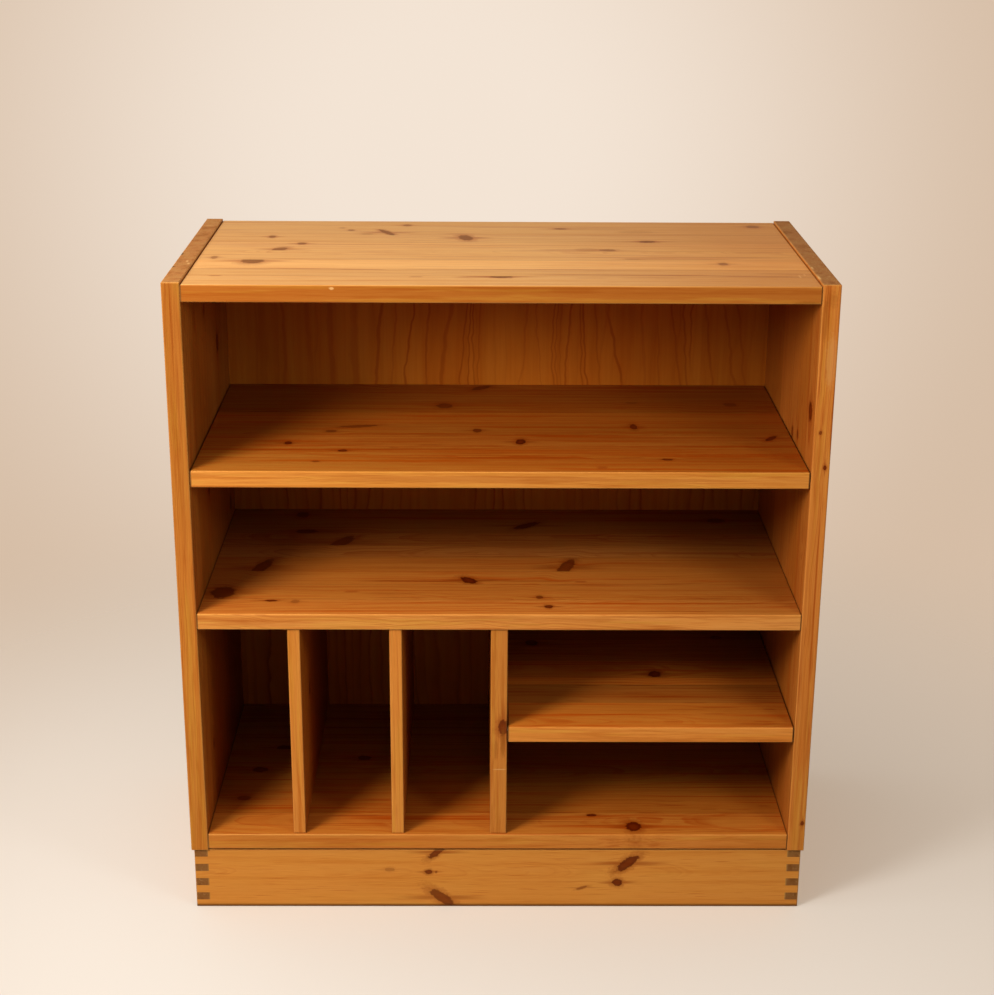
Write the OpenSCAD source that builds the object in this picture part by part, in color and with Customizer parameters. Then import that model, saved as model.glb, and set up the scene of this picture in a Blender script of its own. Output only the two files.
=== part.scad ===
// Pine audio cabinet: two sides, a top, three shelves, a partition, two dividers,
// a plywood back and a finger-jointed plinth. Millimetres, +Z up, front towards -Y,
// origin on the floor in the middle of the cabinet.

/* [Carcass] */
// Overall width, over the two sides
cabinet_w = 900; // [700:10:1200]
// Overall depth, front to back
cabinet_d = 445; // [350:5:600]
// Thickness of the two sides
side_t = 25; // [20:1:32]
// Thickness of the top, bottom, shelves and partition
board_t = 24; // [20:1:30]
// Thickness of the two dividers
divider_t = 18; // [15:1:24]
// How far the sides stand above the top panel and below the bottom panel
side_proud = 3; // [2:0.5:8]
// Radius of the eased edges
arris = 2; // [0.5:0.5:3]

/* [Compartments] */
// Clear height of the tall bays
bay_h = 325; // [260:5:420]
// Clear height of the middle compartment
middle_h = 187; // [120:1:300]
// Clear height of the top compartment
upper_h = 235; // [120:5:350]
// Clear height under the small shelf
low_h = 150; // [80:5:180]
// Place of the partition, to the right of the cabinet's middle
partition_x = 0; // [-60:5:60]
// How far the partition and dividers stand back from the front
setback = 3; // [0:1:20]

/* [Back] */
// Thickness of the plywood back
back_t = 5; // [3:0.5:8]
// Width of the rebate that takes the edge of the back
rebate_w = 10; // [8:1:14]
// Clearance between the back and the ends of its rebates
back_play = 0.5; // [0.2:0.1:1]

/* [Plinth] */
// Height of the plinth boards
plinth_h = 96; // [60:4:140]
// Thickness of the plinth boards
plinth_t = 20; // [16:1:26]
// How far the plinth stands in from the carcass
plinth_inset = 3.5; // [2:0.5:12]
// Number of fingers in the height of a plinth corner
finger_count = 8; // [4:2:12]
// Clearance between two neighbouring fingers
finger_play = 0.1; // [0.05:0.05:0.3]
// Length of a corner block's two glued faces
block_w = 42; // [36:1:60]
// Height of a corner block
block_h = 55; // [40:5:58]
// Width of the cut across a corner block's sharp ends
block_nose = 8; // [4:1:12]

/* [Loose shelves] */
// Clearance at each end of a loose shelf
shelf_play = 1; // [0.5:0.5:3]
// How far the loose shelves stop short of the back
shelf_short = 2; // [1:1:30]
// Diameter of the shelf pegs
peg_d = 6; // [5:1:8]
// Length of a peg inside its hole
peg_in = 12; // [8:1:15]
// Length of a peg under the shelf
peg_out = 11; // [8:1:20]
// From the front and back edges of a shelf to its pegs
peg_edge = 50; // [30:5:90]
// Clearance between a peg and the shelf on it
peg_play = 0.2; // [0.1:0.1:0.5]

/* [Dowels] */
// Diameter of the dowels in the carcass
dowel_d = 8; // [6:1:10]
// Diameter of the dowels in the dividers
divider_dowel_d = 6; // [5:1:8]
// Length of a dowel in the end of a board
dowel_end = 23; // [15:1:40]
// Length of a dowel in the face of a board
dowel_face = 12; // [8:1:14]
// Bevel on the ends of dowels and pegs
dowel_bevel = 1; // [0.5:0.5:2]
// Room past each end of a dowel
dowel_room = 1; // [0.5:0.5:2]
// Radial clearance of dowels, pegs, nails and screws in their holes
hole_fit = 0.05; // [0.03:0.01:0.1]
// Dowels at each end of a wide board
dowel_count = 4; // [2:1:6]
// Dowels at each end of the partition and dividers
upright_dowel_count = 3; // [2:1:4]
// From the front and back of a board to its outer dowels
dowel_edge = 45; // [30:5:80]

/* [Nails and screws] */
// Length of a back nail
nail_l = 20; // [15:1:25]
// Diameter of a back nail's shank
nail_d = 1.6; // [1.4:0.1:2]
// Diameter of a back nail's head
nail_head_d = 3.6; // [3:0.1:5]
// Thickness of a back nail's head
nail_head_t = 0.8; // [0.5:0.1:1]
// Nails along each side of the back
nail_side_count = 7; // [3:1:10]
// Nails along the top, bottom and middle shelf
nail_cross_count = 6; // [3:1:10]
// Length of a corner block screw
screw_l = 70; // [62:1:75]
// Diameter of a corner block screw's shank
screw_d = 4.5; // [4:0.5:6]
// Diameter of a corner block screw's head
screw_head_d = 9; // [8:0.5:11]
// Height of a corner block screw's countersunk head
screw_head_h = 2.8; // [2.4:0.1:4]
// Width of the slot in a corner block screw's head
screw_slot_w = 1.2; // [0.8:0.1:1.6]
// Depth of the slot in a corner block screw's head
screw_slot_h = 1.2; // [0.8:0.1:1.6]

/* [Hidden] */
$fn = 48;

pine = [0.80, 0.52, 0.24];
pine_dark = [0.72, 0.43, 0.17];
ply = [0.70, 0.44, 0.20];
beech = [0.85, 0.68, 0.46];
steel = [0.62, 0.62, 0.60];

// Heights, from the floor up
side_z = plinth_h;
bottom_z = side_z + side_proud;
bay_z = bottom_z + board_t;
middle_z = bay_z + bay_h;
upper_z = middle_z + board_t + middle_h;
top_z = upper_z + board_t + upper_h;
cabinet_h = top_z + board_t + side_proud;
small_z = bay_z + low_h;

// Places across the width
inner_w = cabinet_w - 2 * side_t;
inner_x = inner_w / 2;
partition_left = partition_x - board_t / 2;
partition_right = partition_x + board_t / 2;
bay_w = (partition_left + inner_x - 2 * divider_t) / 3;
divider_left_x = -inner_x + bay_w;
divider_right_x = divider_left_x + divider_t + bay_w;
small_w = inner_x - partition_right;

// Places from front to back
front_y = -cabinet_d / 2;
rear_y = cabinet_d / 2;
back_y = rear_y - back_t;
shelf_d = back_y - front_y;
upright_y = front_y + setback;
upright_d = back_y - upright_y;
loose_d = shelf_d - shelf_short;

// Plinth
plinth_w = cabinet_w - 2 * plinth_inset;
plinth_d = cabinet_d - 2 * plinth_inset;
finger_h = plinth_h / finger_count;
block_z = bottom_z - block_h;
block_screw_at = block_w / 3;
block_screw_turn = 25;

// Evenly spread places, count of them from low to high
function spread(low, high, count) =
    [for (i = [0 : count - 1]) low + (high - low) * i / (count - 1)];

dowel_ys = spread(front_y + dowel_edge, back_y - dowel_edge, dowel_count);
upright_dowel_ys = spread(upright_y + dowel_edge, back_y - dowel_edge, upright_dowel_count);
peg_ys = [front_y + peg_edge, front_y + loose_d - peg_edge];
nail_edge = 40;
nail_x = inner_x + rebate_w / 2;
nail_side_zs = spread(bottom_z + nail_edge, top_z - nail_edge, nail_side_count);
nail_cross_xs = spread(-inner_x + nail_edge, inner_x - nail_edge, nail_cross_count);
nail_cross_zs = [bottom_z + board_t / 2, middle_z + board_t / 2, top_z + rebate_w / 2];

// Boards

// Rectangle from the origin with true arcs at its corners
module eased_face(w, h) {
    translate([arris, 0]) square([w - 2 * arris, h]);
    translate([0, arris]) square([w, h - 2 * arris]);
    for (x = [arris, w - arris], y = [arris, h - arris])
        translate([x, y]) circle(arris);
}

// Board with every edge eased, its lowest corner at "corner"
module board(corner, size) {
    translate(corner) intersection() {
        linear_extrude(size.z) eased_face(size.x, size.y);
        translate([0, size.y, 0]) rotate([90, 0, 0])
            linear_extrude(size.y) eased_face(size.x, size.z);
        rotate([90, 0, 90]) linear_extrude(size.x) eased_face(size.y, size.z);
    }
}

// Round pieces and their holes, along +Z from the origin

// Pin with bevelled ends
module pin(d, l) {
    r = d / 2;
    rotate_extrude() polygon([
        [0, 0], [r - dowel_bevel, 0], [r, dowel_bevel],
        [r, l - dowel_bevel], [r - dowel_bevel, l], [0, l]
    ]);
}

// Dowel across a joint at z = 0, its "face" part below and its "end" part above
module dowel(d) {
    translate([0, 0, -dowel_face]) pin(d, dowel_face + dowel_end);
}

// Hole for both parts of a dowel
module dowel_hole(d) {
    translate([0, 0, -dowel_face - dowel_room])
        cylinder(d = d + 2 * hole_fit, h = dowel_face + dowel_end + 2 * dowel_room);
}

// Shelf peg that leaves a board's face at z = 0
module peg() {
    translate([0, 0, -peg_in]) pin(peg_d, peg_in + peg_out);
}

module peg_hole() {
    translate([0, 0, -peg_in - dowel_room])
        cylinder(d = peg_d + 2 * hole_fit, h = peg_in + 2 * dowel_room);
}

// Nail or screw with its head's face at z = 0, grown by "fit" to cut its hole
module nail(fit = 0) {
    r = nail_d / 2 + fit;
    head_r = nail_head_d / 2 + fit;
    rotate_extrude() polygon([
        [0, -fit], [head_r, -fit], [head_r, nail_head_t], [r, nail_head_t],
        [r, nail_l - nail_d], [0, nail_l + fit]
    ]);
}

module screw(fit = 0) {
    r = screw_d / 2 + fit;
    head_r = screw_head_d / 2 + fit;
    rotate_extrude() polygon([
        [0, -fit], [head_r, -fit], [head_r, 0], [r, screw_head_h],
        [r, screw_l - screw_d], [0, screw_l + fit]
    ]);
}

module slotted_screw() {
    difference() {
        screw();
        rotate([0, 0, block_screw_turn])
            translate([-screw_head_d, -screw_slot_w / 2, -screw_slot_h])
                cube([2 * screw_head_d, screw_slot_w, 2 * screw_slot_h]);
    }
}

// Patterns of places, each with its piece's +Z turned along the joint

// Both ends of a wide board at height z: +Z points from the side into the board
module at_board_ends(z) {
    for (y = dowel_ys) {
        translate([-inner_x, y, z + board_t / 2]) rotate([0, 90, 0]) children();
        translate([inner_x, y, z + board_t / 2]) rotate([0, -90, 0]) children();
    }
}

// Both ends of an upright at x: +Z points into the upright
module at_upright_ends(x) {
    for (y = upright_dowel_ys) {
        translate([x, y, bay_z]) children();
        translate([x, y, middle_z]) rotate([180, 0, 0]) children();
    }
}

// Pegs under a loose shelf between two faces: +Z points out of the face
module at_pegs(left_x, right_x, z) {
    for (y = peg_ys) {
        translate([left_x, y, z - peg_play - peg_d / 2]) rotate([0, 90, 0]) children();
        translate([right_x, y, z - peg_play - peg_d / 2]) rotate([0, -90, 0]) children();
    }
}

// Nails of the back: +Z points forwards, from the back's rear face
module at_nails() {
    for (x = [-nail_x, nail_x], z = nail_side_zs)
        translate([x, rear_y, z]) rotate([90, 0, 0]) children();
    for (x = nail_cross_xs, z = nail_cross_zs)
        translate([x, rear_y, z]) rotate([90, 0, 0]) children();
}

// The four inner corners of the plinth: +X and +Y point inwards along the boards
module at_plinth_corners() {
    for (mx = [0, 1], my = [0, 1])
        mirror([mx, 0, 0]) mirror([0, my, 0])
            translate([-plinth_w / 2 + plinth_t, -plinth_d / 2 + plinth_t, block_z]) children();
}

module at_block_screws() {
    at_plinth_corners() translate([block_screw_at, block_screw_at, 0]) children();
}

// Cuts that more than one board shares

module back_recess() {
    translate([-inner_x - rebate_w, back_y, 0])
        cube([inner_w + 2 * rebate_w, 2 * back_t, top_z + rebate_w]);
}

module divider_dowel_holes() {
    for (x = [divider_left_x, divider_right_x])
        at_upright_ends(x + divider_t / 2) dowel_hole(divider_dowel_d);
}

// Carcass

module side(x) {
    difference() {
        board([x, front_y, side_z], [side_t, cabinet_d, cabinet_h - side_z]);
        back_recess();
        for (z = [bottom_z, middle_z, top_z]) at_board_ends(z) dowel_hole(dowel_d);
        at_pegs(-inner_x, inner_x, upper_z) peg_hole();
        at_nails() nail(hole_fit);
    }
}

module side_left() {
    color(pine) side(-cabinet_w / 2);
}

module side_right() {
    color(pine) difference() {
        side(inner_x);
        at_pegs(partition_right, inner_x, small_z) peg_hole();
    }
}

module top_panel() {
    color(pine) difference() {
        board([-inner_x, front_y, top_z], [inner_w, cabinet_d, board_t]);
        back_recess();
        at_board_ends(top_z) dowel_hole(dowel_d);
        at_nails() nail(hole_fit);
    }
}

module shelf_middle() {
    color(pine) difference() {
        board([-inner_x, front_y, middle_z], [inner_w, shelf_d, board_t]);
        at_board_ends(middle_z) dowel_hole(dowel_d);
        at_upright_ends(partition_x) dowel_hole(dowel_d);
        divider_dowel_holes();
        at_nails() nail(hole_fit);
    }
}

module bottom_panel() {
    color(pine) difference() {
        board([-inner_x, front_y, bottom_z], [inner_w, shelf_d, board_t]);
        at_board_ends(bottom_z) dowel_hole(dowel_d);
        at_upright_ends(partition_x) dowel_hole(dowel_d);
        divider_dowel_holes();
        at_block_screws() screw(hole_fit);
        at_nails() nail(hole_fit);
    }
}

module shelf_upper() {
    color(pine) board([-inner_x + shelf_play, front_y, upper_z],
        [inner_w - 2 * shelf_play, loose_d, board_t]);
}

module shelf_small() {
    color(pine) board([partition_right + shelf_play, front_y, small_z],
        [small_w - 2 * shelf_play, loose_d, board_t]);
}

module partition() {
    color(pine) difference() {
        board([partition_left, upright_y, bay_z], [board_t, upright_d, bay_h]);
        at_upright_ends(partition_x) dowel_hole(dowel_d);
        at_pegs(partition_right, inner_x, small_z) peg_hole();
    }
}

module divider(x) {
    difference() {
        board([x, upright_y, bay_z], [divider_t, upright_d, bay_h]);
        divider_dowel_holes();
    }
}

module divider_left() {
    color(pine) divider(divider_left_x);
}

module divider_right() {
    color(pine) divider(divider_right_x);
}

module back_panel() {
    color(ply) difference() {
        translate([-inner_x - rebate_w + back_play, back_y, bottom_z])
            cube([
                inner_w + 2 * (rebate_w - back_play),
                back_t,
                top_z + rebate_w - back_play - bottom_z
            ]);
        at_nails() nail(hole_fit);
    }
}

// Plinth

// All four boards as one ring, eased after gluing up
module plinth_ring() {
    difference() {
        board([-plinth_w / 2, -plinth_d / 2, 0], [plinth_w, plinth_d, plinth_h]);
        translate([-plinth_w / 2 + plinth_t, -plinth_d / 2 + plinth_t, -1])
            cube([plinth_w - 2 * plinth_t, plinth_d - 2 * plinth_t, plinth_h + 2]);
    }
}

// Slab that holds every second finger from "first" up, over the whole plinth
module finger_layers(first) {
    for (i = [first : 2 : finger_count - 1]) {
        low = i * finger_h + (i > 0 ? finger_play / 2 : 0);
        high = (i + 1) * finger_h - (i < finger_count - 1 ? finger_play / 2 : 0);
        translate([-plinth_w / 2, -plinth_d / 2, low]) cube([plinth_w, plinth_d, high - low]);
    }
}

// Long board, front or back, with the lowest finger
module plinth_long(y) {
    intersection() {
        plinth_ring();
        translate([-plinth_w / 2, y, 0]) cube([plinth_w, plinth_t, plinth_h]);
        union() {
            translate([-plinth_w / 2 + plinth_t, y, 0])
                cube([plinth_w - 2 * plinth_t, plinth_t, plinth_h]);
            finger_layers(0);
        }
    }
}

// Short board, left or right, with the highest finger
module plinth_short(x) {
    intersection() {
        plinth_ring();
        translate([x, -plinth_d / 2, 0]) cube([plinth_t, plinth_d, plinth_h]);
        union() {
            translate([x, -plinth_d / 2 + plinth_t, 0])
                cube([plinth_t, plinth_d - 2 * plinth_t, plinth_h]);
            finger_layers(1);
        }
    }
}

module plinth_front() {
    color(pine_dark) plinth_long(-plinth_d / 2);
}

module plinth_back() {
    color(pine_dark) plinth_long(plinth_d / 2 - plinth_t);
}

module plinth_left() {
    color(pine_dark) plinth_short(-plinth_w / 2);
}

module plinth_right() {
    color(pine_dark) plinth_short(plinth_w / 2 - plinth_t);
}

module corner_blocks() {
    color(pine_dark) difference() {
        at_plinth_corners() linear_extrude(block_h) polygon([
            [0, 0], [block_w, 0], [block_w, block_nose], [block_nose, block_w], [0, block_w]
        ]);
        at_block_screws() screw(hole_fit);
        // Notches for the sides, which hang below the bottom panel
        for (x = [-cabinet_w / 2, inner_x])
            translate([x, front_y, side_z]) cube([side_t, cabinet_d, cabinet_h - side_z]);
    }
}

// Dowels, pegs, screws and nails

module dowels_top() {
    color(beech) at_board_ends(top_z) dowel(dowel_d);
}

module dowels_middle() {
    color(beech) at_board_ends(middle_z) dowel(dowel_d);
}

module dowels_bottom() {
    color(beech) at_board_ends(bottom_z) dowel(dowel_d);
}

module dowels_partition() {
    color(beech) at_upright_ends(partition_x) dowel(dowel_d);
}

module dowels_dividers() {
    color(beech) for (x = [divider_left_x, divider_right_x])
        at_upright_ends(x + divider_t / 2) dowel(divider_dowel_d);
}

module pegs_upper() {
    color(steel) at_pegs(-inner_x, inner_x, upper_z) peg();
}

module pegs_small() {
    color(steel) at_pegs(partition_right, inner_x, small_z) peg();
}

module block_screws() {
    color(steel) at_block_screws() slotted_screw();
}

module back_nails() {
    color(steel) at_nails() nail();
}

side_left();
side_right();
top_panel();
shelf_upper();
shelf_middle();
shelf_small();
bottom_panel();
partition();
divider_left();
divider_right();
back_panel();
plinth_front();
plinth_back();
plinth_left();
plinth_right();
corner_blocks();
dowels_top();
dowels_middle();
dowels_bottom();
dowels_partition();
dowels_dividers();
pegs_upper();
pegs_small();
block_screws();
back_nails();
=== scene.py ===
# Looks of the pine audio cabinet: lacquered boards, plywood back, steel fittings, floor and soft light
import math

import bmesh
import bpy
from mathutils import Matrix, Vector


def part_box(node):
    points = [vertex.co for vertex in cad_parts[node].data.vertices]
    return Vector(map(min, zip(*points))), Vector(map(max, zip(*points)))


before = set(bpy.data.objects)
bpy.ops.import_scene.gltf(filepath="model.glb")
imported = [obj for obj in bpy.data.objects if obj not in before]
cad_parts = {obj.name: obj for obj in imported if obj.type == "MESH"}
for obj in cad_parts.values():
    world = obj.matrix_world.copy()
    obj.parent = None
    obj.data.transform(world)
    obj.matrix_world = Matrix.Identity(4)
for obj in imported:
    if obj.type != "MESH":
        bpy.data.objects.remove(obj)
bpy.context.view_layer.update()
print("frame loaded with", len(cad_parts), "nodes")

scene = bpy.context.scene
scene.view_settings.view_transform = "Standard"

# Camera

cameraSetup = {
    "place": (-0.031, -2.633, 1.489),
    "pitchDown": 0.3364,
    "turn": -0.0109,
    "roll": 0.0062,
    "focalPixels": 1861.5,
    "imageWidth": 994,
    "sensorWidth": 36.0,
}


def makeCamera(setup):
    data = bpy.data.cameras.new("photoCamera")
    data.sensor_fit = "HORIZONTAL"
    data.sensor_width = setup["sensorWidth"]
    data.lens = setup["focalPixels"] * setup["sensorWidth"] / setup["imageWidth"]
    data.clip_start = 0.05
    data.clip_end = 100
    camera = bpy.data.objects.new("photoCamera", data)
    turn = Matrix.Rotation(setup["turn"], 4, "Z")
    pitch = Matrix.Rotation(math.pi / 2 - setup["pitchDown"], 4, "X")
    roll = Matrix.Rotation(setup["roll"], 4, "Z")
    camera.matrix_world = Matrix.Translation(setup["place"]) @ turn @ pitch @ roll
    scene.collection.objects.link(camera)
    scene.camera = camera


makeCamera(cameraSetup)
print("camera ready")

# Node helpers


def setInput(tree, socket, value):
    if isinstance(value, bpy.types.NodeSocket):
        tree.links.new(value, socket)
    elif hasattr(socket.default_value, "__len__") and len(value) < len(socket.default_value):
        socket.default_value = (*value, 1)
    else:
        socket.default_value = value


def addNode(tree, kind, inputs=None, **settings):
    node = tree.nodes.new(kind)
    for name, value in settings.items():
        setattr(node, name, value)
    for name, value in (inputs or {}).items():
        setInput(tree, node.inputs[name], value)
    return node


def calc(tree, operation, *values, clamp=False):
    node = addNode(tree, "ShaderNodeMath", operation=operation, use_clamp=clamp)
    for socket, value in zip(node.inputs, values):
        setInput(tree, socket, value)
    return node.outputs[0]


def product(tree, first, second):
    return calc(tree, "MULTIPLY", first, second)


def linear(tree, value, slope, start):  # value times slope plus start
    return calc(tree, "MULTIPLY_ADD", value, slope, start)


def ramp(tree, value, low, high):  # smooth step from 0 at low to 1 at high
    node = addNode(
        tree,
        "ShaderNodeMapRange",
        {"Value": value, "From Min": low, "From Max": high},
        interpolation_type="SMOOTHSTEP",
    )
    return node.outputs["Result"]


def blend(tree, factor, first, second, mode="MIX"):
    node = addNode(tree, "ShaderNodeMix", data_type="RGBA", blend_type=mode)
    setInput(tree, node.inputs[0], factor)
    setInput(tree, node.inputs[6], first)
    setInput(tree, node.inputs[7], second)
    return node.outputs[2]


def multiplied(tree, colour, other):
    return blend(tree, 1.0, colour, other, "MULTIPLY")


def vector(tree, x, y, z):
    return addNode(tree, "ShaderNodeCombineXYZ", {"X": x, "Y": y, "Z": z}).outputs[0]


def vectorCalc(tree, operation, first, second):
    node = addNode(tree, "ShaderNodeVectorMath", operation=operation)
    setInput(tree, node.inputs[0], first)
    setInput(tree, node.inputs[1], second)
    return node.outputs["Value" if operation == "DOT_PRODUCT" else "Vector"]


def length(tree, place):
    return addNode(tree, "ShaderNodeVectorMath", {"Vector": place}, operation="LENGTH").outputs["Value"]


def noise(tree, place, scale=1.0, detail=2.0, roughness=0.5):
    node = addNode(
        tree,
        "ShaderNodeTexNoise",
        {"Vector": place, "Scale": scale, "Detail": detail, "Roughness": roughness},
    )
    return node.outputs[0]


socketKinds = {
    "Spot": "Vector",
    "Centre": "Vector",
    "Size": "Vector",
    "Low": "Vector",
    "High": "Vector",
    "Colour": "Color",
    "Colour In": "Color",
}


def newGroup(name, inputs, outputs):  # a socket whose kind isn't listed above carries a plain value
    tree = bpy.data.node_groups.new(name, "ShaderNodeTree")
    for side, labels in (("INPUT", inputs), ("OUTPUT", outputs)):
        for label in labels.split(", "):
            kind = "NodeSocket" + socketKinds.get(label, "Float")
            tree.interface.new_socket(label, in_out=side, socket_type=kind)
    start = tree.nodes.new("NodeGroupInput")
    end = tree.nodes.new("NodeGroupOutput")
    return tree, start.outputs, end.inputs


def useGroup(tree, group, inputs):
    node = tree.nodes.new("ShaderNodeGroup")
    node.node_tree = group
    for name, value in inputs.items():
        setInput(tree, node.inputs[name], value)
    return node.outputs


def newMaterial(name, settings):
    material = bpy.data.materials.new(name)
    material.use_nodes = True
    tree = material.node_tree
    surface = tree.nodes["Principled BSDF"]
    for label, value in settings.items():
        setInput(tree, surface.inputs[label], value)
    return material, tree, surface


def addBump(tree, surface, height, strength, distance):
    settings = {"Height": height, "Strength": strength, "Distance": distance}
    bump = addNode(tree, "ShaderNodeBump", settings)
    tree.links.new(bump.outputs[0], surface.inputs["Normal"])


def splitPlace(tree, place):
    return addNode(tree, "ShaderNodeSeparateXYZ", {"Vector": place}).outputs


def dice(tree, seed):
    return addNode(tree, "ShaderNodeTexWhiteNoise", {"W": seed}, noise_dimensions="1D").outputs


def profile(tree, value, levels):  # grey levels over value, each given with its place from 0 to 1
    node = addNode(tree, "ShaderNodeValToRGB", {"Fac": value})
    stops = node.color_ramp.elements
    for number, (place, level) in enumerate(levels):
        stop = stops[number] if number < 2 else stops.new(place)
        stop.position = place
        stop.color = (level, level, level, 1)
    return node.outputs["Color"]


# Light

lightSetup = {
    "key": {"place": (-1.20, -1.30, 1.52), "size": 0.68, "power": 30.0, "colour": (1.0, 0.965, 0.91)},
    "fill": {"place": (1.12, -1.33, 1.36), "size": 0.50, "power": 6.4, "colour": (0.95, 1.0, 0.99)},
    "above": {"place": (-0.86, -0.32, 2.78), "size": 2.60, "power": 33.0, "colour": (1.0, 0.965, 0.92)},
    "aim": (0.0, 0.0, 0.45),
    "worldColour": (0.94, 1.02, 1.03),
    "worldFront": 0.235,
    "worldBack": 0.31,
    "worldTowards": (0.15, 0.95, 0.25),  # the brighter side of the soft light
    "worldLimits": (-0.35, 0.6),
    "backdropGlow": (0.90, 0.775, 0.66),
    "backdropRim": (0.67, 0.51, 0.38),
    "glowTowards": (-0.02, 0.985, -0.15),
    "glowAngles": (0.34, 0.05),  # radians from the middle of the glow to its rim
}


def makeLamp(name, lamp, aim):
    data = bpy.data.lights.new(name, "AREA")
    data.shape = "DISK"
    data.size = lamp["size"]
    data.energy = lamp["power"]
    data.color = lamp["colour"]
    light = bpy.data.objects.new(name, data)
    light.location = lamp["place"]
    towards = Vector(aim) - Vector(lamp["place"])
    light.rotation_euler = towards.to_track_quat("-Z", "Y").to_euler()
    scene.collection.objects.link(light)


def seenDirectly(tree):  # 1 for the eye and for gloss and glass, 0 for light that falls on the cabinet
    path = addNode(tree, "ShaderNodeLightPath").outputs
    direct = calc(tree, "MAXIMUM", path["Is Camera Ray"], path["Is Glossy Ray"])
    return calc(tree, "MAXIMUM", direct, path["Is Transmission Ray"])


def makeWorld(setup):  # a weak soft light, and a paper backdrop with a glow for the eye and for gloss
    world = bpy.data.worlds.new("studioWorld")
    world.use_nodes = True
    tree = world.node_tree
    tree.nodes.clear()
    towards = addNode(tree, "ShaderNodeTexCoord").outputs["Generated"]

    def leaning(direction):  # 1 towards the direction, -1 away from it
        return vectorCalc(tree, "DOT_PRODUCT", towards, Vector(direction).normalized())

    glow = ramp(tree, calc(tree, "ARCCOSINE", leaning(setup["glowTowards"])), *setup["glowAngles"])
    colour = blend(tree, glow, setup["backdropRim"], setup["backdropGlow"])
    strength = ramp(tree, leaning(setup["worldTowards"]), *setup["worldLimits"])
    strength = linear(tree, strength, setup["worldBack"] - setup["worldFront"], setup["worldFront"])
    soft = addNode(tree, "ShaderNodeBackground", {"Color": setup["worldColour"], "Strength": strength})
    seen = addNode(tree, "ShaderNodeBackground", {"Color": colour})
    mix = addNode(tree, "ShaderNodeMixShader")
    setInput(tree, mix.inputs[0], seenDirectly(tree))
    setInput(tree, mix.inputs[1], soft.outputs[0])
    setInput(tree, mix.inputs[2], seen.outputs[0])
    output = addNode(tree, "ShaderNodeOutputWorld")
    setInput(tree, output.inputs["Surface"], mix.outputs[0])
    scene.world = world


for name in ("key", "fill", "above"):
    makeLamp(name + "Light", lightSetup[name], lightSetup["aim"])
makeWorld(lightSetup)
print("light ready")

# Shared wood effects


def makeStaveGroup():  # one glue line: past it a new stave starts, with its own number and tone
    tree, given, result = newGroup(
        "staveEdge",
        "Across, Place, Tone, Number In, Start In, Tone In, Near In",
        "Number, Start, Tone, Near",
    )
    past = calc(tree, "GREATER_THAN", given["Across"], given["Place"])
    tree.links.new(calc(tree, "ADD", given["Number In"], past), result["Number"])
    move = calc(tree, "SUBTRACT", given["Place"], given["Start In"])
    tree.links.new(linear(tree, move, past, given["Start In"]), result["Start"])
    change = calc(tree, "SUBTRACT", given["Tone"], given["Tone In"])
    tree.links.new(linear(tree, change, past, given["Tone In"]), result["Tone"])
    away = calc(tree, "ABSOLUTE", calc(tree, "SUBTRACT", given["Across"], given["Place"]))
    tree.links.new(calc(tree, "MINIMUM", away, given["Near In"]), result["Near"])
    return tree


knotShape = {  # reaches are in radii from the knot's middle
    "core": (1.12, 0.86),
    "heart": (0.80, 0.30),
    "collar": (2.2, 0.9),
    "collarDepth": 0.8,
    "trailWidth": (0.62, 0.12),
    "trailLength": (4.6, 0.8),
    "pushStretch": 0.30,
    "pushFall": -0.25,
    "push": -0.45,
    "raggedScale": 190,
    "ragged": (0.9, 0.55),
}


def makeKnotGroup(shape):  # one knot, kept inside its stave, and the push that it gives the grain
    tree, given, result = newGroup(
        "pineKnot",
        "Along, Across, Along Place, Across Place, Radius, Stretch, Slant, Strength, From, To, Ragged, "
        "Core In, Heart In, Halo In, Push In",
        "Core, Heart, Halo, Push",
    )
    along = calc(tree, "SUBTRACT", given["Along"], given["Along Place"])
    level = calc(tree, "SUBTRACT", given["Across"], given["Across Place"])
    across = linear(tree, along, given["Slant"], level)
    inside = product(
        tree,
        calc(tree, "GREATER_THAN", given["Across"], given["From"]),
        calc(tree, "LESS_THAN", given["Across"], given["To"]),
    )
    strength = product(tree, given["Strength"], inside)
    u = calc(tree, "DIVIDE", along, product(tree, given["Radius"], given["Stretch"]))
    v = calc(tree, "DIVIDE", across, given["Radius"])
    uSquare = product(tree, u, u)
    vSquare = product(tree, v, v)
    away = calc(tree, "SQRT", calc(tree, "ADD", uSquare, vSquare))
    rough = product(tree, away, given["Ragged"])
    core = product(tree, ramp(tree, rough, *shape["core"]), strength)
    heart = product(tree, ramp(tree, rough, *shape["heart"]), strength)
    # Dark grain gathers round the knot and trails off from it along the board
    collar = product(tree, ramp(tree, rough, *shape["collar"]), shape["collarDepth"])
    aside = calc(tree, "ABSOLUTE", calc(tree, "DIVIDE", level, given["Radius"]))
    trail = ramp(tree, calc(tree, "ABSOLUTE", u), *shape["trailLength"])
    trail = product(tree, trail, ramp(tree, aside, *shape["trailWidth"]))
    halo = product(tree, calc(tree, "MAXIMUM", collar, trail), strength)
    tree.links.new(calc(tree, "MAXIMUM", core, given["Core In"]), result["Core"])
    tree.links.new(calc(tree, "MAXIMUM", heart, given["Heart In"]), result["Heart"])
    tree.links.new(calc(tree, "MAXIMUM", halo, given["Halo In"]), result["Halo"])
    # Grain lines part around the knot: the shift draws them away from its middle
    reach = linear(tree, uSquare, shape["pushStretch"], vSquare)
    near = calc(tree, "POWER", math.e, product(tree, reach, shape["pushFall"]))
    near = product(tree, near, product(tree, given["Strength"], shape["push"]))
    tree.links.new(linear(tree, near, across, given["Push In"]), result["Push"])
    return tree


lineShape = {  # shares of a line's half length and half width, from nothing to full
    "taper": (1.0, 0.35),
    "edge": (1.6, 0.4),
    "waveScale": 9,
}


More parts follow.
